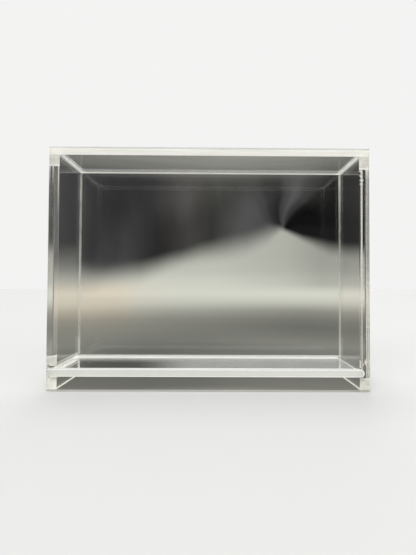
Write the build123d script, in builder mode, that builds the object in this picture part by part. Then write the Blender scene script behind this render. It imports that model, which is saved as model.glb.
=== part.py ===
from build123d import *
import os

# Clear acrylic display case for one boxed video game, with a base panel that slides out to the left.
# Millimetres. X is to the right, Y to the back and Z up, seen from the front.
# The origin is on the surface that the case stands on, under the middle of the case.

# Space for the boxed game
inner_width = 186.0
inner_depth = 34.0
inner_height = 132.5

# Sheet thicknesses
face_sheet = 5.0  # front and back panels
side_sheet = 5.0  # left and right walls and the sill
top_sheet = 4.0
slide_sheet = 4.0

# The sliding base and its grooves
slide_lift = 8.2  # from the standing surface to the underside of the base
groove_depth = 2.5
groove_play = 0.6  # over the base in its grooves
edge_play = 0.3  # between each long edge of the base and the groove's floor
stop_play = 0.2  # between the closed base and the right wall
slide_nose = 1.5  # radius of the corners that go into the grooves first

# The slot in the left side
slot_over = 2.0  # from the base up to the left wall
slot_under = 0.9  # from the base down to the sill
slot_lip = 1.4  # rounding of the long edges over and under the slot

# Scraped corners of the sheets
edge_ease = 0.3

# What follows from them
outer_width = inner_width + 2 * side_sheet
slide_top = slide_lift + slide_sheet
ceiling = slide_top + inner_height
outer_height = ceiling + top_sheet
groove_height = slide_sheet + groove_play
groove_low = slide_lift
groove_high = slide_lift + groove_height
wall_foot = slide_top + slot_over
sill_top = slide_lift - slot_under
left_edge = -outer_width / 2
right_face = inner_width / 2
front_face = -inner_depth / 2
wall_middle = inner_width / 2 + side_sheet / 2
slide_width = right_face - stop_play - left_edge
slide_depth = inner_depth + 2 * (groove_depth - edge_play)

standing = (Align.CENTER, Align.CENTER, Align.MIN)

# Front panel. The outer face has its corners scraped all round, and the groove is routed in the inner
# face. The cutter enters at the left edge and stops over the right wall, so it leaves a round end.
with BuildPart() as front_panel:
    with Locations((0, front_face - face_sheet / 2, 0)):
        Box(outer_width, face_sheet, outer_height, align=standing)
    outer_face = front_panel.faces().sort_by(Axis.Y)[0]
    chamfer(outer_face.edges(), length=edge_ease)
    with BuildSketch(Plane.XZ.offset(-front_face)):
        with BuildLine():
            Line((left_edge, groove_low), (right_face, groove_low))
            ThreePointArc(
                (right_face, groove_low),
                (right_face + groove_height / 2, (groove_low + groove_high) / 2),
                (right_face, groove_high),
            )
            Line((right_face, groove_high), (left_edge, groove_high))
            Line((left_edge, groove_high), (left_edge, groove_low))
        make_face()
    extrude(amount=groove_depth, mode=Mode.SUBTRACT)

# Back panel, the front one mirrored front to back
with BuildPart() as back_panel:
    mirror(front_panel.part, about=Plane.XZ)

# Top panel, over both side walls and between the front and back panels
with BuildPart() as top_panel:
    with Locations((0, 0, ceiling)):
        Box(outer_width, inner_depth, top_sheet, align=standing)

# Right wall, full height
with BuildPart() as right_wall:
    with Locations((wall_middle, 0, 0)):
        Box(side_sheet, inner_depth, ceiling, align=standing)

# Left wall, from the top panel down to the slot, with its lower edges rounded over
with BuildPart() as left_wall:
    with Locations((-wall_middle, 0, wall_foot)):
        Box(side_sheet, inner_depth, ceiling - wall_foot, align=standing)
    lower_face = left_wall.faces().sort_by(Axis.Z)[0]
    fillet(lower_face.edges().filter_by(Axis.Y), radius=slot_lip)

# Sill under the slot, with its upper edges rounded over in the same way
with BuildPart() as left_sill:
    with Locations((-wall_middle, 0, 0)):
        Box(side_sheet, inner_depth, sill_top, align=standing)
    upper_face = left_sill.faces().sort_by(Axis.Z)[-1]
    fillet(upper_face.edges().filter_by(Axis.Y), radius=slot_lip)

# Sliding base, closed. Its two leading corners are rounded, so that it starts into the grooves, and
# its upper and lower corners are scraped.
with BuildPart() as slide_base:
    with Locations((left_edge + slide_width / 2, 0, slide_lift)):
        Box(slide_width, slide_depth, slide_sheet, align=standing)
    leading_corners = slide_base.edges().filter_by(Axis.Z).group_by(Axis.X)[-1]
    fillet(leading_corners, radius=slide_nose)
    broad_faces = slide_base.faces().filter_by(Axis.Z)
    chamfer(broad_faces.edges(), length=edge_ease)

front_panel.part.label = "front_panel"
back_panel.part.label = "back_panel"
top_panel.part.label = "top_panel"
right_wall.part.label = "right_wall"
left_wall.part.label = "left_wall"
left_sill.part.label = "left_sill"
slide_base.part.label = "slide_base"

os.makedirs("parts", exist_ok=True)
export_step(front_panel.part, "parts/front_panel.step")
export_step(back_panel.part, "parts/back_panel.step")
export_step(top_panel.part, "parts/top_panel.step")
export_step(right_wall.part, "parts/right_wall.step")
export_step(left_wall.part, "parts/left_wall.step")
export_step(left_sill.part, "parts/left_sill.step")
export_step(slide_base.part, "parts/slide_base.step")

print(f"case {outer_width} x {inner_depth + 2 * face_sheet} x {outer_height} mm")
print(f"base {slide_width} x {slide_depth} x {slide_sheet} mm, underside at {slide_lift} mm")
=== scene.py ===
import math

import bmesh
import bpy
from mathutils import Matrix, Vector


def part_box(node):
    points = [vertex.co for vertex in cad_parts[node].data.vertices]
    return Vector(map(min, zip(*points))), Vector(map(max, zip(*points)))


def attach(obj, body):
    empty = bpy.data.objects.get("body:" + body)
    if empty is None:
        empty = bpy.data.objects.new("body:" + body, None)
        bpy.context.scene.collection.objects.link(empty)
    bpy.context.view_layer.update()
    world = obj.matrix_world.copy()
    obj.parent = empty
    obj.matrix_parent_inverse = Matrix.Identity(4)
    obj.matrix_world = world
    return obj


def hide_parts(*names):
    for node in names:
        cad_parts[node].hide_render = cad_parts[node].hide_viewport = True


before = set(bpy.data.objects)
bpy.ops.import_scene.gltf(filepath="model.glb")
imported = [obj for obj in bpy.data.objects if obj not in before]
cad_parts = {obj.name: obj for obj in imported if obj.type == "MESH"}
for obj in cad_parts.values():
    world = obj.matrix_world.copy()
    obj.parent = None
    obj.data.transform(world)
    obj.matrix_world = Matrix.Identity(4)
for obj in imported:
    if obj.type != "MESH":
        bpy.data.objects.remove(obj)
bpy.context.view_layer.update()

MM = 0.001
X, Y, Z = range(3)
tiny = 1e-7  # two places nearer to each other than this are the same

# Where the frame puts the sheets
front_low, front_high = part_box("front_panel")
back_low, back_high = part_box("back_panel")
top_low, top_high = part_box("top_panel")
right_low, right_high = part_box("right_wall")
left_low, left_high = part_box("left_wall")
sill_low, sill_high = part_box("left_sill")
base_low, base_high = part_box("slide_base")

# The groove in the front and back panels
groove_depth = 2.5 * MM
groove_play = 0.6 * MM  # over the base
groove_low = base_low.z
groove_high = base_high.z + groove_play
groove_turns = 28  # facets of its round end
cutter_corner = 0.55 * MM  # rounding in its inner corners, as wide as this
cutter_rise = 0.1 * MM  # and as deep as this
front_burr = 0.35 * MM  # frosted strip along the upper edge of the front panel's groove, painted white as a highlight
back_burr = 1.1 * MM  # and of the back panel's

# Rounded and scraped edges
slot_lip = 1.4 * MM  # rounding of the long edges over the slot
sill_ease = 0.4 * MM  # and under it
lip_turns = 8  # facets of each
lip_shaded_from = 0.45  # a lip is made smooth and clear, with painted shade, where its normal is steeper than this
lip_flat = 0.99  # and is the sheet's flat end where it is steeper than this
base_nose = 1.5 * MM  # rounding of the base's leading corners
nose_turns = 6
outer_ease = 0.3 * MM  # scraped corners of the panels' outer faces and of the base
inner_ease = 0.12 * MM  # corners of the other sawn edges

# Gaps
bond_gap = 0.02 * MM  # between two sheets that are cemented together
running_gap = 0.06 * MM  # under the base in its grooves

# Cement under the top, smeared beside the side walls, and its traces, as far out as this
smear_left = 1.6 * MM
smear_right = 1.0 * MM
etch_left = 4.0 * MM
etch_right = 3.0 * MM
etch_back = 9.0 * MM  # beside the back panel

# Haze on the base, which gets stronger from left to right
haze_start = -52.0 * MM
haze_full = -12.0 * MM
haze_share = 0.112
haze_wander = 10.0 * MM
haze_end = 12.5 * MM  # it stops short of the base's back edge
haze_fade = 4.0 * MM
reflection_band_end = left_high.x - 0.2 * MM  # the base's end is frosted as far as this, under the left wall: a painted reflection of the wall's frosted underside
reflection_band_fade = 0.1 * MM

# How a texture is stretched
even = (1, 1, 1)
along_case = (0.04, 1, 1)


# Node trees

def new_tree(name):
    """An empty material and its nodes."""
    mat = bpy.data.materials.new(name)
    mat.use_nodes = True
    mat.node_tree.nodes.clear()
    return mat, mat.node_tree


def add(tree, kind, inputs=None, **settings):
    """A shader node. Inputs go by socket name or number. Settings go by attribute name.

    An input is an output to link, a number, a vector or a colour (r, g, b).
    """
    node = tree.nodes.new("ShaderNode" + kind)
    for key, value in settings.items():
        setattr(node, key, value)
    for key, value in (inputs or {}).items():
        socket = node.inputs[key]
        if isinstance(value, bpy.types.NodeSocket):
            tree.links.new(value, socket)
        elif socket.type == "RGBA":
            socket.default_value = (*value, 1)
        else:
            socket.default_value = value
    return node


def calculate(tree, operation, *values):
    """A math node's result."""
    return add(tree, "Math", dict(enumerate(values)), operation=operation).outputs[0]


def product(tree, first, second):
    """Two numbers multiplied."""
    return calculate(tree, "MULTIPLY", first, second)


def most(tree, *values):
    """The largest of several values."""
    result = values[0]
    for value in values[1:]:
        result = calculate(tree, "MAXIMUM", result, value)
    return result


def map_range(tree, value, low, high, new_low=0.0, new_high=1.0, smooth=False):
    """Takes a value from one range to another, and holds it there."""
    inputs = {"Value": value, "From Min": low, "From Max": high, "To Min": new_low, "To Max": new_high}
    kind = "SMOOTHSTEP" if smooth else "LINEAR"
    return add(tree, "MapRange", inputs, interpolation_type=kind).outputs["Result"]


def fade(tree, value, low, high):
    """From nothing to one between two values, with soft ends."""
    return map_range(tree, value, low, high, smooth=True)


def in_band(tree, value, middle, half, soft):
    """One inside middle +- half, and falling to nothing over a soft edge."""
    off = calculate(tree, "ABSOLUTE", calculate(tree, "SUBTRACT", value, middle))
    return fade(tree, off, half + soft, half - soft)


def ramp(tree, value, stops, interpolation="LINEAR"):
    """A colour ramp. Stops are (place, grey) or (place, (r, g, b))."""
    node = add(tree, "ValToRGB", {"Fac": value})
    band = node.color_ramp
    band.interpolation = interpolation
    while len(band.elements) < len(stops):
        band.elements.new(0.5)
    for element, (place, colour) in zip(band.elements, stops):
        element.position = place
        rgb = colour if isinstance(colour, tuple) else (colour,) * 3
        element.color = (*rgb, 1)
    return node.outputs["Color"]


def mix_colour(tree, share, first, second, blend="MIX"):
    """Two colours mixed. Share is the second one's."""
    inputs = {0: share, 6: first, 7: second}
    return add(tree, "Mix", inputs, data_type="RGBA", blend_type=blend).outputs[2]


def tinted(tree, colour, tint):
    """Two colours multiplied."""
    return mix_colour(tree, 1.0, colour, tint, "MULTIPLY")


def parts_of(tree, vector):
    """A vector's parts, by the names X, Y and Z."""
    return add(tree, "SeparateXYZ", {0: vector}).outputs


def object_point(tree, stretch=even):
    """Object coordinates, which are the case's own, stretched for a texture."""
    place = add(tree, "TexCoord").outputs["Object"]
    return add(tree, "Mapping", {"Vector": place, "Scale": stretch}).outputs["Vector"]


def noise(tree, vector, scale, detail):
    """Noise at a point, about 0.3 to 0.7."""
    return add(tree, "TexNoise", {"Vector": vector, "Scale": scale, "Detail": detail}).outputs["Fac"]


def grain(tree, scale, detail, stretch=even):
    """Noise that stays with the case."""
    return noise(tree, object_point(tree, stretch), scale, detail)


def spread(tree, value, low=0.0, high=1.0):
    """Takes noise from its usual range, 0.3 to 0.7, to another one."""
    return map_range(tree, value, 0.3, 0.7, low, high)


def bump(tree, height, strength, distance):
    """The normal of a surface that rises and falls with a height."""
    inputs = {"Height": height, "Strength": strength, "Distance": distance}
    return add(tree, "Bump", inputs).outputs["Normal"]


# Shaders

acrylic_ior = 1.49
acrylic_colour = (0.985, 0.993, 0.988)
sawn_roughness = 0.62
sawn_glow = (0.92, 0.90, 0.85)  # colour of the light that comes through a sawn face
milled_glow = (0.86, 0.86, 0.84)  # and through a milled or scraped one
full_clear = (1, 1, 1)
strip_soft = 0.28  # soft edge of a joint's dry strips, in millimetres

# What a surface leaves of a lamp's light
lamp_tint = (0.925, 0.93, 0.925)
rim_tint = (0.7, 0.7, 0.69)
frost_tint = (0.5, 0.49, 0.46)
milled_tint = (0.4, 0.4, 0.39)


def plain(tree, kind, colour):
    """A shader with only a colour."""
    return add(tree, kind, {"Color": colour}).outputs[0]


def mix_shader(tree, share, first, second):
    """Two shaders mixed. Share is the second one's."""
    return add(tree, "MixShader", {0: share, 1: first, 2: second}).outputs[0]


def principled(tree, colour, roughness, normal=None, transmission=0.0):
    """An acrylic surface."""
    inputs = {"Base Color": colour, "Roughness": roughness, "IOR": acrylic_ior,
              "Transmission Weight": transmission}
    if normal is not None:
        inputs["Normal"] = normal
    return add(tree, "BsdfPrincipled", inputs).outputs[0]


def clear(tree, colour, roughness, normal=None):
    """A clear acrylic surface."""
    return principled(tree, colour, roughness, normal, 1.0)


def surface(tree, shader):
    """Adds the material's output."""
    add(tree, "OutputMaterial", {"Surface": shader})


def let_lamps_through(tree, shader, tint):
    """Adds the output. Light from the lamps goes straight through, a little weaker."""
    to_lamp = add(tree, "LightPath").outputs["Is Shadow Ray"]
    surface(tree, mix_shader(tree, to_lamp, shader, plain(tree, "BsdfTransparent", tint)))


def let_light_glow(tree, shader, glow, through, tint):
    """Adds the output of a frosted face. A share of the light comes through it from behind."""
    behind = plain(tree, "BsdfTranslucent", glow)
    let_lamps_through(tree, mix_shader(tree, through, shader, behind), tint)


# Materials

def polished():
    """The sheets' own faces: clear, with a very slight wave and a few faint rubbed spots."""
    mat, tree = new_tree("polished_acrylic")
    spots = map_range(tree, grain(tree, 90.0, 3.0), 0.55, 0.75, 0.0, 0.035)
    wave = bump(tree, grain(tree, 28.0, 1.0), 0.006, 0.6 * MM)
    let_lamps_through(tree, clear(tree, acrylic_colour, spots, wave), lamp_tint)
    return mat


def sawn(name, low, high, through, stretch):
    """A sawn sheet edge, cream white and frosted, with the saw's marks stretched along an axis."""
    mat, tree = new_tree(name)
    marks = spread(tree, grain(tree, 700.0, 4.0, stretch))
    colour = mix_colour(tree, marks, low, high)
    lines = grain(tree, 2600.0, 2.0, (1, 1, 0.25))
    shader = principled(tree, colour, sawn_roughness, bump(tree, lines, 0.35, 0.08 * MM))
    let_light_glow(tree, shader, sawn_glow, through, frost_tint)
    return mat


def milled(name, low, high, through):
    """The routed groove: white, with the cutter's marks along it."""
    mat, tree = new_tree(name)
    marks = grain(tree, 1500.0, 2.0, (0.15, 1, 1))
    colour = mix_colour(tree, marks, low, high)
    shader = principled(tree, colour, 0.5, bump(tree, marks, 0.3, 0.08 * MM))
    let_light_glow(tree, shader, milled_glow, through, milled_tint)
    return mat


def scraped(name, low, high, through):
    """A panel's rim or corner, sawn and then scraped smooth, and half clear."""
    mat, tree = new_tree(name)
    lines = grain(tree, 1800.0, 2.0, (0.2, 1, 0.2))
    colour = mix_colour(tree, lines, low, high)
    shader = principled(tree, colour, 0.4, bump(tree, lines, 0.25, 0.06 * MM))
    let_light_glow(tree, shader, milled_glow, through, rim_tint)
    return mat


def smoothed():
    """The panels' upright rims: scraped until they are nearly clear, with a little haze left."""
    mat, tree = new_tree("smoothed_rim")
    lines = grain(tree, 900.0, 3.0, (1, 1, 0.03))
    shader = clear(tree, (0.97, 0.98, 0.97), spread(tree, lines, 0.02, 0.09))
    haze = plain(tree, "BsdfDiffuse", (0.72, 0.72, 0.70))
    let_lamps_through(tree, mix_shader(tree, spread(tree, lines, 0.04, 0.12), shader, haze), rim_tint)
    return mat


def etched(name, low, high):
    """A face beside a joint, where cement has run out and left it clouded."""
    mat, tree = new_tree(name)
    hatch = grain(tree, 1100.0, 3.0, (0.5, 1, 1))
    share = map_range(tree, hatch, 0.36, 0.64, low, high)
    cloud = plain(tree, "BsdfTranslucent", (0.92, 0.91, 0.88))
    let_lamps_through(tree, mix_shader(tree, share, clear(tree, acrylic_colour, 0.02), cloud), lamp_tint)
    return mat


def shaded_smooth_lip():
    """The middle of a rounded lip, made smooth with solvent and clear, and tinted dark: painted shade."""
    mat, tree = new_tree("smooth_lip_shaded")
    ripple = grain(tree, 700.0, 2.0, (1, 0.3, 1))
    roughness = spread(tree, ripple, 0.02, 0.12)
    # The dark tint is painted shade on the clear lip.
    shader = clear(tree, (0.3, 0.3, 0.295), roughness, bump(tree, ripple, 0.2, 0.06 * MM))
    let_lamps_through(tree, shader, rim_tint)
    return mat


def cemented():
    """The part of a sheet's face that another sheet is cemented to: no surface is left there."""
    mat, tree = new_tree("cemented_face")
    surface(tree, plain(tree, "BsdfTransparent", full_clear))
    return mat


def rubbed():
    """The base's broad faces: clear at the left, and hazy with fine rubbed lines towards the right. A
    frosted band at the left end is a painted reflection of the left wall's frosted underside.
    """
    mat, tree = new_tree("rubbed_acrylic")
    place = parts_of(tree, object_point(tree))
    wander = spread(tree, grain(tree, 30.0, 3.0), -haze_wander, haze_wander)
    along = calculate(tree, "ADD", place["X"], wander)
    share = map_range(tree, along, haze_start, haze_full, 0.0, haze_share, smooth=True)
    lines = grain(tree, 900.0, 3.0, (0.06, 1, 1))
    share = product(tree, share, spread(tree, lines, 0.75, 1.15))
    share = product(tree, share, map_range(tree, place["Y"], haze_end, haze_end - haze_fade))
    # The frosted band at the left end is a painted reflection of the left wall's frosted underside.
    reflection_band = map_range(tree, place["X"], reflection_band_end + reflection_band_fade, reflection_band_end - reflection_band_fade)
    hatch = grain(tree, 900.0, 3.0, (1, 0.4, 1))
    reflection_band = product(tree, reflection_band, map_range(tree, hatch, 0.38, 0.62, 0.16, 0.42))
    haze = plain(tree, "BsdfDiffuse", (0.90, 0.90, 0.89))
    shader = clear(tree, acrylic_colour, 0.0)
    let_lamps_through(tree, mix_shader(tree, most(tree, share, reflection_band), shader, haze), lamp_tint)
    return mat


def dry_strip(tree, across, height, strip):
    """How dry an upright strip of a joint is. See joint."""
    middle, half, foot, foot_share, head, head_share = strip
    share = map_range(tree, height, foot, head, foot_share, head_share)
    return product(tree, in_band(tree, across, middle, half, strip_soft), share)


def dry_blot(tree, across, height, blot):
    """How dry a rounded blot of a joint is. See joint."""
    middle, up, half, tall = blot
    reach = calculate(tree, "ABSOLUTE", calculate(tree, "SUBTRACT", across, middle))
    rise = calculate(tree, "ABSOLUTE", calculate(tree, "SUBTRACT", height, up))
    reach = calculate(tree, "DIVIDE", reach, half)
    reach = calculate(tree, "MULTIPLY_ADD", rise, 1 / tall, reach)
    return map_range(tree, reach, 1.1, 0.85)


def dry_aslant(tree, height, steep):
    """How much of a joint clouds when it is looked at aslant. See joint."""
    ramp_top = 150.0
    slant = add(tree, "LayerWeight", {"Blend": 0.5}).outputs["Facing"]
    slant = map_range(tree, slant, 0.15, 0.35)
    up = map_range(tree, height, 0.0, ramp_top)
    return product(tree, slant, ramp(tree, up, [(place / ramp_top, share) for place, share in steep]))


def joint_cream(tree, level, dry_low, dry_high):
    """The cream of a joint's dry part, with a paler rim where it meets the rest. See joint."""
    marks = spread(tree, grain(tree, 620.0, 4.0, (0.5, 1, 1)))
    cream = mix_colour(tree, marks, (0.60, 0.585, 0.53), (0.74, 0.725, 0.67))
    upper_rim = in_band(tree, level, dry_high + 0.45, 0.45, 0.2)
    lower_rim = in_band(tree, level, dry_low - 0.45, 0.35, 0.2)
    return mix_colour(tree, most(tree, upper_rim, lower_rim), cream, (0.84, 0.84, 0.82))


def joint(name, side, dry_low, dry_high, veil, strips, blots=(), steep=()):
    """A sawn edge in a cemented joint: clear where the cement has wetted it, cream where it is dry.

    Side is -1 for the left wall and 1 for the right one. Heights and places are in millimetres, and
    places across are from the wall's inner face. The edge is dry under the height dry_low and over
    dry_high, veil is how much it clouds elsewhere, and steep is that for a slanting look, in pairs of
    height and share. A strip is (place, half width, height, share there, upper height, share there)
    and a blot is (place, height, half width, half height).
    """
    mat, tree = new_tree(name)
    place = parts_of(tree, object_point(tree))
    across = calculate(tree, "MULTIPLY_ADD", place["X"], side / MM, -right_low.x / MM)
    height = product(tree, place["Z"], 1 / MM)
    wander = spread(tree, grain(tree, 160.0, 2.0), -0.3, 0.3)
    level = calculate(tree, "ADD", height, wander)
    drift = spread(tree, grain(tree, 90.0, 2.0, (1, 1, 0.25)), -0.14, 0.14)
    shifted = calculate(tree, "ADD", across, drift)
    cloud = spread(tree, grain(tree, 240.0, 3.0, (1, 1, 0.3)), 0.6, 1.4)
    dry = most(
        tree,
        product(tree, cloud, veil),
        map_range(tree, level, dry_low + 0.25, dry_low - 0.1),
        map_range(tree, level, dry_high - 0.25, dry_high + 0.1),
        *[dry_strip(tree, shifted, height, strip) for strip in strips],
        *[dry_blot(tree, across, height, blot) for blot in blots],
    )
    if steep:
        dry = most(tree, dry, product(tree, cloud, dry_aslant(tree, height, steep)))
    shader = principled(tree, joint_cream(tree, level, dry_low, dry_high), sawn_roughness)
    surface(tree, mix_shader(tree, dry, plain(tree, "BsdfTransparent", full_clear), shader))
    return mat


MATERIALS = [
    polished(),
    sawn("sawn_end", (0.86, 0.845, 0.79), (0.97, 0.965, 0.93), 0.45, even),
    sawn("sawn_front", (0.80, 0.785, 0.74), (0.97, 0.96, 0.93), 0.2, along_case),
    milled("milled_bed", (0.432, 0.428, 0.436), (0.536, 0.530, 0.542), 0.5),
    milled("milled_end", (0.40, 0.40, 0.39), (0.50, 0.50, 0.49), 0.35),
    # The groove's rounded inner corners and the front panel's strip over its mouth: milled, and painted
    # near white as highlights.
    milled("milled_corner_highlight", (0.87, 0.87, 0.86), (0.93, 0.93, 0.92), 0.12),
    # The rim of the groove's round end in front: milled, and painted white as a highlight.
    milled("milled_rim_highlight", (0.95, 0.95, 0.94), (0.99, 0.99, 0.98), 0.3),
    # The back panel's groove: milled like the front one, and painted far paler as light.
    milled("milled_back_lit", (0.94, 0.94, 0.93), (0.98, 0.98, 0.97), 0.2),
    milled("milled_edge", (0.48, 0.48, 0.47), (0.62, 0.62, 0.60), 0.3),
    smoothed(),
    scraped("scraped_rim", (0.58, 0.59, 0.60), (0.70, 0.71, 0.72), 0.2),
    shaded_smooth_lip(),
    # The back panel's outer corners: scraped, and painted near black as shade.
    scraped("corner_painted_dark", (0.11, 0.11, 0.11), (0.16, 0.16, 0.16), 0.05),
    # The panels' bottom edges: sawn, and painted far darker than the other sawn edges as shade, as they
    # face the floor.
    sawn("sawn_foot_shaded", (0.26, 0.255, 0.24), (0.36, 0.355, 0.34), 0.15, along_case),
    sawn("sawn_back", (0.42, 0.41, 0.38), (0.56, 0.55, 0.52), 0.15, along_case),
    sawn("sawn_long", (0.86, 0.845, 0.79), (0.97, 0.965, 0.93), 0.15, along_case),
    sawn("bedded_left", (0.44, 0.43, 0.40), (0.54, 0.53, 0.50), 0.12, even),
    sawn("bedded_right", (0.74, 0.73, 0.70), (0.84, 0.83, 0.80), 0.2, even),
    etched("smeared_cement", 0.22, 0.40),
    etched("etched_margin", 0.08, 0.26),
    etched("hazed_margin", 0.04, 0.12),
    cemented(),
    rubbed(),
    joint(
        "joint_left_front", side=-1, dry_low=20.6, dry_high=137.6, veil=0.05,
        strips=[(0.6, 0.3, 106.0, 0.05, 132.0, 0.95), (3.9, 0.35, 124.0, 0.0, 136.0, 0.95)],
    ),
    joint(
        "joint_left_back", side=-1, dry_low=0.0, dry_high=150.0, veil=0.07,
        strips=[(0.4, 0.35, 60.0, 0.20, 120.0, 0.30)],
        blots=[(0.6, 143.8, 0.8, 0.8), (0.6, 16.0, 0.8, 0.8)],
        steep=[(0, 0.42), (90, 0.50), (150, 0.50)],
    ),
    joint(
        "joint_right_front", side=1, dry_low=7.2, dry_high=136.6, veil=0.0,
        strips=[(1.45, 0.5, 45.0, 0.35, 75.0, 0.9), (0.7, 0.4, 15.0, 0.3, 50.0, 0.0),
                (4.5, 0.35, 10.0, 0.95, 90.0, 0.45), (4.5, 0.45, 124.0, 0.0, 136.0, 0.95)],
        blots=[(3.9, 17.0, 1.2, 2.4), (1.1, 135.4, 1.1, 0.7), (1.3, 132.4, 1.0, 0.9),
               (1.6, 129.9, 1.5, 0.8), (1.3, 127.5, 1.2, 0.8), (4.5, 38.8, 0.5, 0.7)],
    ),
    joint(
        "joint_right_back", side=1, dry_low=0.0, dry_high=150.0, veil=0.0,
        strips=[(1.3, 0.45, 45.0, 0.35, 75.0, 0.6), (4.4, 0.35, 60.0, 0.35, 120.0, 0.35)],
        blots=[(0.8, 143.4, 1.0, 1.2), (0.8, 140.3, 0.9, 0.6)],
        steep=[(0, 0.55), (60, 0.40), (104, 0.28), (126, 0.60), (141, 0.95)],
    ),
]
SLOT_OF = {mat.name: i for i, mat in enumerate(MATERIALS)}


# Meshes

def new_mesh(name, bm):
    """A mesh from a bmesh, which is freed."""
    mesh = bpy.data.meshes.new(name)
    bm.to_mesh(mesh)
    bm.free()
    return mesh


def new_object(name, data):
    """An object in the scene."""
    made = bpy.data.objects.new(name, data)
    bpy.context.scene.collection.objects.link(made)
    return made


def finish_piece(name, bm, body, node):
    """Makes the object, which rides on its body and stands for its node."""
    bmesh.ops.recalc_face_normals(bm, faces=bm.faces)
    mesh = new_mesh(name, bm)
    for mat in MATERIALS:
        mesh.materials.append(mat)
    piece = new_object(name, mesh)
    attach(piece, body)
    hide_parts(node)


def side_of(face):
    """The side that a face of a box looks to, such as -X."""
    normal = face.normal
    axis = max(range(3), key=lambda i: abs(normal[i]))
    return ("-" if normal[axis] < 0 else "+") + "XYZ"[axis]


def box_mesh(low, high):
    """A box as a bmesh."""
    bm = bmesh.new()
    bmesh.ops.create_cube(bm, size=1)
    bmesh.ops.scale(bm, vec=Vector(high) - Vector(low), verts=bm.verts)
    bmesh.ops.translate(bm, vec=(Vector(low) + Vector(high)) / 2, verts=bm.verts)
    bm.normal_update()
    return bm


def paint(bm, by_side):
    """Gives each side of a box its finish."""
    for face in bm.faces:
        face.material_index = SLOT_OF[by_side[side_of(face)]]


def edges_between(bm, *pairs):
    """The edges where each pair of sides meets."""
    wanted = [set(pair) for pair in pairs]
    return [edge for edge in bm.edges if {side_of(face) for face in edge.link_faces} in wanted]


def edges_of(faces):
    """The edges round some faces, each of them once."""
    return list({edge for face in faces for edge in face.edges})


def ease(bm, edges, width, turns=2, finish=None):
    """Rounds edges over. The new faces take a finish, or else those of the faces beside them."""
    bmesh.ops.bevel(bm, geom=edges, offset=width, offset_type="OFFSET", segments=turns,
                    profile=0.5, affect="EDGES", clamp_overlap=True,
                    material=SLOT_OF[finish] if finish else -1)
    bm.normal_update()


def lies_at(face, axis, place):
    """True where the whole face is in the plane across an axis at a place."""
    return all(abs(vert.co[axis] - place) < tiny for vert in face.verts)


def cut(bm, faces_axis, faces_place, axis, *places):
    """Cuts the faces that lie at one place of an axis, along planes across another axis."""
    for place in places:
        faces = [face for face in bm.faces if lies_at(face, faces_axis, faces_place)]
        verts = list({vert for face in faces for vert in face.verts})
        point = Vector()
        point[axis] = place
        normal = Vector()
        normal[axis] = 1
        bmesh.ops.bisect_plane(bm, geom=verts + edges_of(faces) + faces, plane_co=point,
                               plane_no=normal, dist=tiny)
        bm.normal_update()


# The front and back panels

def groove_outline(level, inset, left):
    """The groove's outline at one depth, from its lower left corner round to its upper left one."""
    low = groove_low + inset
    high = groove_high - inset
    middle = (low + high) / 2
    radius = (high - low) / 2
    points = [(left, level, low)]
    for i in range(groove_turns + 1):
        angle = -math.pi / 2 + math.pi * i / groove_turns
        points.append((right_low.x + radius * math.cos(angle), level, middle + radius * math.sin(angle)))
    points.append((left, level, high))
    return points


def panel_outline(level, low, high):
    """A panel's outline at one depth: lower left, lower right, upper right and upper left."""
    return [(low.x, level, low.z), (high.x, level, low.z), (high.x, level, high.z), (low.x, level, high.z)]


def add_verts(bm, points):
    """A corner at each point."""
    return [bm.verts.new(point) for point in points]


def add_face(bm, finish, *corners):
    """A face with its finish."""
    face = bm.faces.new(corners)
    face.material_index = SLOT_OF[finish]
    return face


def add_band(bm, finish, near, far):
    """The faces between two outlines of the groove."""
    for i in range(len(near) - 1):
        add_face(bm, finish, near[i], near[i + 1], far[i + 1], far[i])


def panel_mesh(low, high, inner, outer, outward):
    """A panel with its groove, whose inner corners are rounded and painted white as highlights, and with
    its outer corners scraped; the back panel's are painted near black as shade.
    """
    floor = inner + outward * groove_depth
    bm = bmesh.new()
    mouth = add_verts(bm, groove_outline(inner, 0.0, low.x))
    turn = add_verts(bm, groove_outline(floor - outward * cutter_rise, 0.0, low.x))
    bed = add_verts(bm, groove_outline(floor, cutter_corner, low.x))
    inner_rim = add_verts(bm, panel_outline(inner, low, high))
    outer_rim = add_verts(bm, panel_outline(outer, low, high))
    in_low_left, in_low_right, in_high_right, in_high_left = inner_rim
    out_low_left, out_low_right, out_high_right, out_high_left = outer_rim

    # the back panel's groove is painted far paler than the front one, as light
    groove_finish = "milled_bed" if outward < 0 else "milled_back_lit"
    add_face(bm, "polished_acrylic", *mouth, *reversed(inner_rim))
    add_face(bm, groove_finish, *bed)
    outer_face = add_face(bm, "polished_acrylic", *outer_rim)
    add_band(bm, groove_finish, mouth, turn)
    # the rounded inner corners, painted white as highlights
    add_band(bm, "milled_corner_highlight", turn, bed)
    # the bottom edge, painted dark as shade
    add_face(bm, "sawn_foot_shaded", in_low_left, in_low_right, out_low_right, out_low_left)
    add_face(bm, "scraped_rim", in_high_right, in_high_left, out_high_left, out_high_right)
    add_face(bm, "smoothed_rim", in_low_right, in_high_right, out_high_right, out_low_right)
    add_face(bm, "smoothed_rim", in_high_left, mouth[-1], turn[-1], bed[-1], bed[0], turn[0],
             mouth[0], in_low_left, out_low_left, out_high_left)
    bm.normal_update()
    bmesh.ops.recalc_face_normals(bm, faces=bm.faces)
    bm.normal_update()
    # the back panel's outer corners are painted near black as shade
    ease(bm, list(outer_face.edges), outer_ease, finish=None if outward < 0 else "corner_painted_dark")
    return bm


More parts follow.
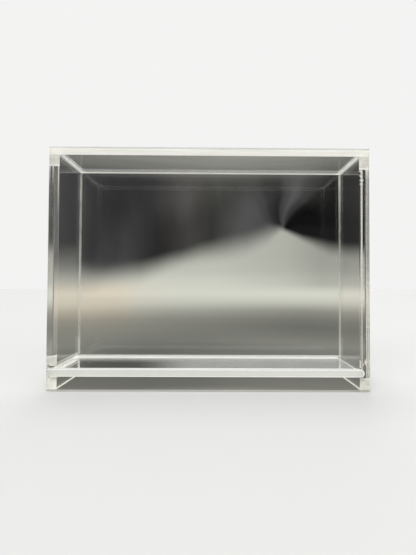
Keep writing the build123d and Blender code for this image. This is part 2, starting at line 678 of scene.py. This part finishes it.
def finish_groove_end(bm, inner, outward):
    """The groove's round end over the right wall: a grey bed and a rim painted white as a highlight in
    front, hazy at the back.
    """
    floor = inner + outward * groove_depth
    cut(bm, Y, floor, X, right_low.x)
    for face in bm.faces:
        reach = max(abs(vert.co.y - inner) for vert in face.verts)
        in_groove = tiny <= reach < groove_depth + tiny
        if in_groove and face.calc_center_median().x > right_low.x:
            if outward > 0:
                finish = "hazed_margin"
            elif lies_at(face, Y, floor):
                finish = "milled_end"
            else:
                # the rim, painted white as a highlight
                finish = "milled_rim_highlight"
            face.material_index = SLOT_OF[finish]


def under_sheet(point):
    """True where another sheet's edge meets a panel's inner face."""
    if point.z > top_low.z:
        return True
    if point.x > right_low.x:
        return True
    return point.x < left_high.x and (point.z < sill_high.z or point.z > left_low.z)


def finish_inner_face(bm, inner, outward):
    """A panel's inner face: cemented under the other sheets, and frosted along the groove's mouth, in the
    front panel painted white as a highlight.
    """
    strip_top = groove_high + (front_burr if outward < 0 else back_burr)
    cut(bm, Y, inner, X, left_high.x, right_low.x)
    cut(bm, Y, inner, Z, top_low.z, sill_high.z, left_low.z, strip_top)
    for face in bm.faces:
        if lies_at(face, Y, inner):
            middle = face.calc_center_median()
            if under_sheet(middle):
                finish = "cemented_face"
            elif groove_high < middle.z < strip_top:
                # the front strip, painted white as a highlight
                finish = "milled_corner_highlight" if outward < 0 else "milled_edge"
            else:
                finish = "polished_acrylic"
            face.material_index = SLOT_OF[finish]


def panel(name, node, low, high, outward):
    """The front or back panel. Outward is -1 for the front one and 1 for the back one."""
    inner, outer = (high.y, low.y) if outward < 0 else (low.y, high.y)
    bm = panel_mesh(low, high, inner, outer, outward)
    finish_groove_end(bm, inner, outward)
    finish_inner_face(bm, inner, outward)
    finish_piece(name, bm, "case", node)


# The other sheets

def frost_lip(bm):
    """Leaves a lip's rounding frosted beside the sheet's broad faces only. The rest is made smooth and
    clear, with painted shade.
    """
    for face in bm.faces:
        # these faces take the clear lip finish with its painted shade
        if lip_shaded_from < abs(face.normal.z) < lip_flat:
            face.material_index = SLOT_OF["smooth_lip_shaded"]


def side_sheet(name, node, low, high, front, back, top, rounded=None, radius=0.0):
    """A side wall or the sill, cemented between the panels. One of its ends may be rounded over."""
    meets_top = abs(high.z - top_low.z) < tiny
    top_gap = bond_gap if meets_top else 0.0
    bm = box_mesh((low.x, low.y + bond_gap, low.z), (high.x, high.y - bond_gap, high.z - top_gap))
    paint(bm, {"-X": "polished_acrylic", "+X": "polished_acrylic", "-Y": front, "+Y": back,
               "-Z": "sawn_end", "+Z": top})
    for end in ("-Z", "+Z"):
        edges = edges_between(bm, ("-X", end), ("+X", end))
        if end == rounded:
            ease(bm, edges, radius, lip_turns, "sawn_end")
            frost_lip(bm)
        else:
            ease(bm, edges, inner_ease)
    finish_piece(name, bm, "case", node)


def underside_finish(point, back):
    """The finish of the top's underside at a point. Back is where the back panel is."""
    if not left_high.x < point.x < right_low.x:
        return "cemented_face"
    if not left_high.x + smear_left < point.x < right_low.x - smear_right:
        return "smeared_cement"
    if not left_high.x + etch_left < point.x < right_low.x - etch_right:
        return "etched_margin"
    return "hazed_margin" if point.y > back - etch_back else "polished_acrylic"


def top_sheet(name, node, low, high):
    """The top, cemented between the panels and onto the side walls."""
    bm = box_mesh((low.x, low.y + bond_gap, low.z), (high.x, high.y - bond_gap, high.z))
    paint(bm, {"-X": "sawn_front", "+X": "sawn_front", "-Y": "sawn_front", "+Y": "sawn_back",
               "-Z": "polished_acrylic", "+Z": "polished_acrylic"})
    ease(bm, edges_between(bm, ("-X", "+Z"), ("-X", "-Z"), ("+X", "+Z"), ("+X", "-Z")), inner_ease)
    cut(bm, Z, low.z, X, left_high.x, left_high.x + smear_left, left_high.x + etch_left,
        right_low.x - etch_right, right_low.x - smear_right, right_low.x)
    cut(bm, Z, low.z, Y, high.y - etch_back)
    for face in bm.faces:
        if lies_at(face, Z, low.z):
            face.material_index = SLOT_OF[underside_finish(face.calc_center_median(), high.y)]
    finish_piece(name, bm, "case", node)


def sliding_base(name, node, low, high):
    """The base, with rounded leading corners and scraped edges."""
    bm = box_mesh((low.x, low.y, low.z + running_gap), high)
    paint(bm, {"-X": "sawn_end", "+X": "sawn_end", "-Y": "sawn_long", "+Y": "sawn_long",
               "-Z": "rubbed_acrylic", "+Z": "rubbed_acrylic"})
    ease(bm, edges_between(bm, ("+X", "-Y"), ("+X", "+Y")), base_nose, nose_turns)
    broad_faces = [face for face in bm.faces if side_of(face) in ("-Z", "+Z")]
    ease(bm, edges_of(broad_faces), outer_ease, 1)
    finish_piece(name, bm, "base", node)


panel("front_sheet", "front_panel", front_low, front_high, -1)
panel("back_sheet", "back_panel", back_low, back_high, 1)
top_sheet("top_sheet", "top_panel", top_low, top_high)
side_sheet("right_sheet", "right_wall", right_low, right_high,
           "joint_right_front", "joint_right_back", "bedded_right")
side_sheet("left_sheet", "left_wall", left_low, left_high,
           "joint_left_front", "joint_left_back", "bedded_left", "-Z", slot_lip)
side_sheet("sill_strip", "left_sill", sill_low, sill_high,
           "sawn_front", "sawn_front", "sawn_end", "+Z", sill_ease)
sliding_base("base_sheet", "slide_base", base_low, base_high)


# The floor

floor_radius = 4.0
floor_turns = 96
floor_drop = 0.2 * MM


def pale_floor():
    """The floor. The sheets show the studio's own tones through them, so it stays out of those rays."""
    mat, tree = new_tree("pale_floor")
    tone = noise(tree, object_point(tree), 6.0, 2.0)
    colour = mix_colour(tree, tone, (0.395, 0.395, 0.39), (0.405, 0.405, 0.40))
    shader = add(tree, "BsdfPrincipled", {"Base Color": colour, "Roughness": 0.7})
    surface(tree, shader.outputs[0])
    bm = bmesh.new()
    bmesh.ops.create_circle(bm, cap_ends=True, radius=floor_radius, segments=floor_turns)
    mesh = new_mesh("floor", bm)
    mesh.materials.append(mat)
    floor = new_object("floor", mesh)
    floor.location.z = -floor_drop
    floor.visible_transmission = False
    floor.visible_glossy = False


# The surroundings, in degrees. Turn is to the right of straight behind the case, and rise is upwards.
# Across is the turn from 0 at the left to 1 at the right.
widest_turn = 30.0
across_behind = 0.3  # across is this for all that is behind the camera
lowest_rise = -30.0
highest_rise = 10.0
peak_turn = 11.7  # where the light part comes to a point
peak_rise = 9.0
edge_scale = 10.0  # the light part's upper edge is given in tens of degrees
half_scale = 5.0  # and half its soft width in fives
fan_reach = (5.0, 13.0)  # the fan fades out between these distances from the point
level_rise = (0.3, -1.6)  # where the light part is the same all across
middle_rise = (-2.4, -5.0)
lower_rise = (-7.0, -10.5)
overhead_rise = (17.0, 21.0)  # where the top sheet's own tone takes over
white_rise = (30.0, 50.0)
per_radian = 180 / math.pi


def over_edge(tree, across, rise):
    """How far a direction is above the light part's upper edge, in half widths of that soft edge."""
    edge = ramp(tree, across, [
        (0.0, 0.085), (0.15, 0.055), (0.28, 0.185), (0.36, 0.37), (0.45, 0.53), (0.54, 0.63),
        (0.59, 0.70), (0.65, 0.86), (0.685, 0.96), (0.70, 0.925), (0.75, 0.78), (0.82, 0.605),
        (0.87, 0.54), (1.0, 0.50)])
    half = ramp(tree, across, [
        (0.0, 0.95), (0.10, 0.78), (0.18, 0.50), (0.28, 0.54), (0.40, 0.42), (0.54, 0.60),
        (0.65, 0.50), (0.685, 0.18), (0.70, 0.12), (0.75, 0.18), (0.82, 0.34), (1.0, 0.38)])
    over = calculate(tree, "MULTIPLY_ADD", edge, -edge_scale, rise)
    return calculate(tree, "DIVIDE", over, product(tree, half, half_scale))


def streaks_of(tree, turn, turn_scale, rise, rise_scale):
    """Noise over the surroundings, with its own scale each way."""
    inputs = {"X": product(tree, turn, turn_scale), "Y": product(tree, rise, rise_scale)}
    return noise(tree, add(tree, "CombineXYZ", inputs).outputs[0], 1.0, 3.0)


def dark_tone(tree, across, turn, rise, over):
    """The dark part, with soft upright streaks."""
    sky = ramp(tree, across, [
        (0.0, (0.075, 0.073, 0.073)), (0.10, (0.052, 0.050, 0.051)), (0.15, (0.039, 0.038, 0.039)),
        (0.32, (0.038, 0.036, 0.037)), (0.42, (0.085, 0.081, 0.076)), (0.60, (0.086, 0.087, 0.077)),
        (0.74, (0.080, 0.079, 0.070)), (0.83, (0.013, 0.013, 0.013)), (0.89, (0.026, 0.026, 0.026)),
        (1.0, (0.026, 0.026, 0.026))])
    streaks = spread(tree, streaks_of(tree, turn, 0.16, rise, 0.05), 0.72, 1.30)
    foot = map_range(tree, across, 0.24, 0.33, 1.25, 0.55)
    foot = map_range(tree, over, 2.2, 5.0, foot, 1.0, smooth=True)
    return tinted(tree, sky, product(tree, streaks, foot))


def upper_tone(tree, across, turn, rise, over):
    """The dark part, and a fan of dark and light that spreads from the point, with a bend at its foot."""
    aside = calculate(tree, "SUBTRACT", turn, peak_turn)
    above = calculate(tree, "SUBTRACT", rise, peak_rise)
    squares = calculate(tree, "MULTIPLY_ADD", aside, aside, product(tree, above, above))
    far = calculate(tree, "SQRT", squares)
    bend = map_range(tree, far, 0.5, 6.0, -0.07, 0.0)
    angle = calculate(tree, "ARCTAN2", product(tree, aside, -1.0), above)
    share_round = calculate(tree, "MULTIPLY_ADD", angle, 0.5 / math.pi, bend)
    fan = ramp(tree, calculate(tree, "ADD", share_round, 0.5), [
        (0.0, 0.009), (0.25, 0.007), (0.28, 0.002), (0.345, 0.0005), (0.375, 0.005), (0.41, 0.040),
        (0.455, 0.092), (0.485, 0.062), (0.52, 0.020), (0.56, 0.034), (0.60, 0.060), (0.65, 0.084),
        (1.0, 0.088)], "EASE")
    fan = tinted(tree, fan, map_range(tree, far, 3.0, 8.0, 0.8, 1.3))
    sky = dark_tone(tree, across, turn, rise, over)
    return mix_colour(tree, fade(tree, far, *fan_reach), fan, sky)


def lower_tone(tree, across, rise):
    """The light part and what is below it, which gets darker downwards and is warmer at the left."""
    low = map_range(tree, rise, lowest_rise, highest_rise)
    tone = ramp(tree, low, [
        (0.0, 0.75), (0.22, 0.55), (0.32, 0.19), (0.38, 0.160), (0.42, 0.155), (0.46, 0.170),
        (0.50, 0.225), (0.54, 0.208), (0.57, 0.205), (0.60, 0.240), (0.635, 0.35), (0.67, 0.555),
        (0.705, 0.68), (0.77, 0.62), (0.81, 0.58), (0.85, 0.60), (1.0, 0.60)])
    # Shares of that tone from left to right, at four heights, halved because a ramp ends at one
    upper = ramp(tree, across, [(0.0, 0.5), (0.5, 0.5), (0.70, 0.42), (0.80, 0.33), (1.0, 0.35)])
    middle = ramp(tree, across, [
        (0.0, 0.67), (0.15, 0.66), (0.35, 0.54), (0.5, 0.48), (0.75, 0.36), (1.0, 0.37)])
    lower = ramp(tree, across, [
        (0.0, 0.52), (0.15, 0.46), (0.30, 0.405), (0.45, 0.42), (0.56, 0.48), (0.70, 0.53), (1.0, 0.58)])
    share = mix_colour(tree, fade(tree, rise, *level_rise), upper, (0.5, 0.5, 0.5))
    share = mix_colour(tree, fade(tree, rise, *middle_rise), share, middle)
    share = mix_colour(tree, fade(tree, rise, *lower_rise), share, lower)
    tone = tinted(tree, tone, tinted(tree, share, (2.0, 2.0, 2.0)))
    warm_turn = ramp(tree, across, [(0.0, 1.0), (0.22, 1.0), (0.27, 0.35), (0.40, 0.0)])
    warm_rise = ramp(tree, low, [(0.52, 0.0), (0.62, 1.0), (0.73, 1.0), (0.78, 0.0)])
    warm = product(tree, warm_turn, warm_rise)
    return tinted(tree, tone, mix_colour(tree, warm, (1.0, 0.995, 0.885), (1.07, 0.95, 0.765)))


def overhead_tone(tree, across, turn, rise):
    """What the top sheet shows, seen from under it, with fine level streaks."""
    sky = ramp(tree, across, [
        (0.0, (0.135, 0.130, 0.122)), (0.15, (0.150, 0.145, 0.136)), (0.50, (0.210, 0.206, 0.192)),
        (0.72, (0.160, 0.157, 0.145)), (0.82, (0.100, 0.098, 0.091)), (1.0, (0.070, 0.068, 0.064))])
    return tinted(tree, sky, spread(tree, streaks_of(tree, turn, 0.03, rise, 1.8), 0.82, 1.18))


def studio():
    """The surroundings. The camera sees plain pale; the sheets show and mirror soft bands of light."""
    world = bpy.data.worlds.new("studio")
    bpy.context.scene.world = world
    world.use_nodes = True
    tree = world.node_tree
    tree.nodes.clear()
    place = parts_of(tree, add(tree, "TexCoord").outputs["Generated"])
    rise = product(tree, calculate(tree, "ARCSINE", place["Z"]), per_radian)
    turn = product(tree, calculate(tree, "ARCTAN2", place["X"], place["Y"]), per_radian)
    across = map_range(tree, turn, -widest_turn, widest_turn)
    behind = fade(tree, place["Y"], 0.1, -0.5)
    across = map_range(tree, behind, 0.0, 1.0, across, across_behind)

    over = over_edge(tree, across, rise)
    lower = lower_tone(tree, across, rise)
    upper = upper_tone(tree, across, turn, rise, over)
    tone = mix_colour(tree, fade(tree, over, -1.0, 1.0), lower, upper)
    overhead = overhead_tone(tree, across, turn, rise)
    tone = mix_colour(tree, fade(tree, rise, *overhead_rise), tone, overhead)
    tone = mix_colour(tree, fade(tree, rise, *white_rise), tone, (1.0, 1.0, 1.0))

    lit = plain(tree, "Background", tone)
    seen = plain(tree, "Background", (0.895, 0.895, 0.89))
    from_camera = add(tree, "LightPath").outputs["Is Camera Ray"]
    add(tree, "OutputWorld", {"Surface": mix_shader(tree, from_camera, lit, seen)})


def soft_light(name, turn, rise, spread_angle, strength):
    """A soft light from far away. Turn is from straight in front, positive to the right, in degrees."""
    data = bpy.data.lights.new(name, "SUN")
    data.angle = math.radians(spread_angle)
    data.energy = strength
    lamp = new_object(name, data)
    turn = math.radians(turn)
    rise = math.radians(rise)
    towards = Vector((math.sin(turn) * math.cos(rise), -math.cos(turn) * math.cos(rise), math.sin(rise)))
    lamp.location = towards
    lamp.rotation_mode = "QUATERNION"
    lamp.rotation_quaternion = towards.to_track_quat("Z", "Y")
    lamp.visible_glossy = False
    lamp.visible_transmission = False


# The camera, in pixels of the photo, metres and radians
image_width = 416
image_height = 555
focal_pixels = 325.0
middle_pixel = 218.5  # the photo was cropped a little off centre
camera_place = (4.4 * MM, -219.5 * MM, 64.9 * MM)
camera_yaw = math.radians(-0.38)
camera_pitch = math.radians(1.15)
camera_roll = math.radians(0.27)


def camera():
    """The camera at the photo's angle."""
    data = bpy.data.cameras.new("camera")
    data.sensor_width = 36.0
    data.lens = data.sensor_width * focal_pixels / image_height
    data.shift_x = (image_width / 2 - middle_pixel) / image_height
    data.clip_start = 0.01
    data.clip_end = 20.0
    cam = new_object("camera", data)
    cam.location = camera_place
    ahead = Vector((-math.sin(camera_yaw), math.cos(camera_yaw), math.tan(camera_pitch)))
    facing = ahead.to_track_quat("-Z", "Y").to_matrix()
    cam.rotation_mode = "QUATERNION"
    cam.rotation_quaternion = (facing @ Matrix.Rotation(camera_roll, 3, "Z")).to_quaternion()
    bpy.context.scene.camera = cam


pale_floor()
studio()
soft_light("key_light", -35, 38, 30, 3.0)
soft_light("fill_light", 45, 30, 40, 1.4)
soft_light("top_light", -150, 76, 14, 1.7)
soft_light("back_light", 170, 32, 40, 2.0)
camera()

scene = bpy.context.scene
scene.view_settings.view_transform = "Standard"
scene.cycles.max_bounces = 28
scene.cycles.transmission_bounces = 24
scene.cycles.glossy_bounces = 16
scene.cycles.transparent_max_bounces = 48
